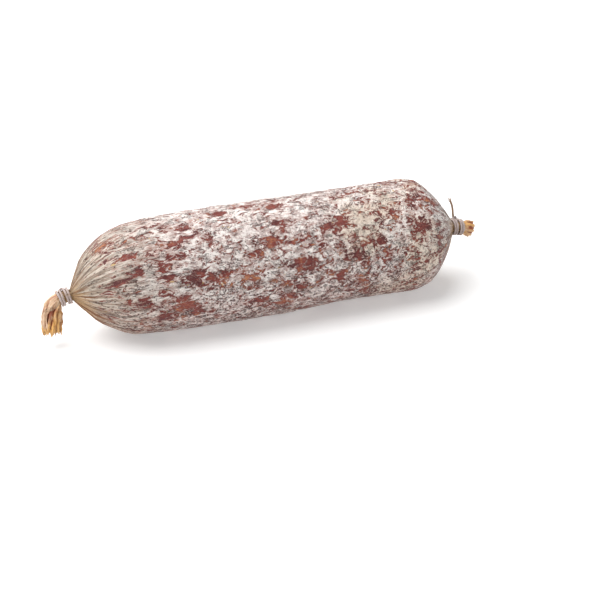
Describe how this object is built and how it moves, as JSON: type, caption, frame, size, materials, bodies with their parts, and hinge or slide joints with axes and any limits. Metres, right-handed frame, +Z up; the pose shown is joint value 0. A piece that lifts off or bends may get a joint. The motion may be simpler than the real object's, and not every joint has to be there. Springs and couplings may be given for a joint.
{
  "type": "cured sausage",
  "caption": "Whole dry-cured sausage lying on its side, mould-dusted casing pinched and tied with twine at both ends, gathered casing tail at one end.",
  "frame": {"origin": "under the middle of the whole sausage's bounding box, on the plane it rests on", "axes": "+X along the sausage from the hanging casing tail towards the end with the standing twine end, +Z up, -Y the side seen first"},
  "size_m": [0.239, 0.0606, 0.0593],
  "materials": {
    "mouldy_casing": "dry wrinkled casing under a powdery white-grey mould bloom, with bare red-brown meat patches and tan fat flecks",
    "tail_casing": "dry golden-tan gathered casing, pleated and slightly translucent",
    "twine": "thin plied natural-fibre butcher's twine, light grey, slightly fuzzy"
  },
  "bodies": {
    "root": {"sausage_body": "mouldy_casing", "near_twine_tie": "twine", "far_twine_tie": "twine"}
  },
  "joints": []
}
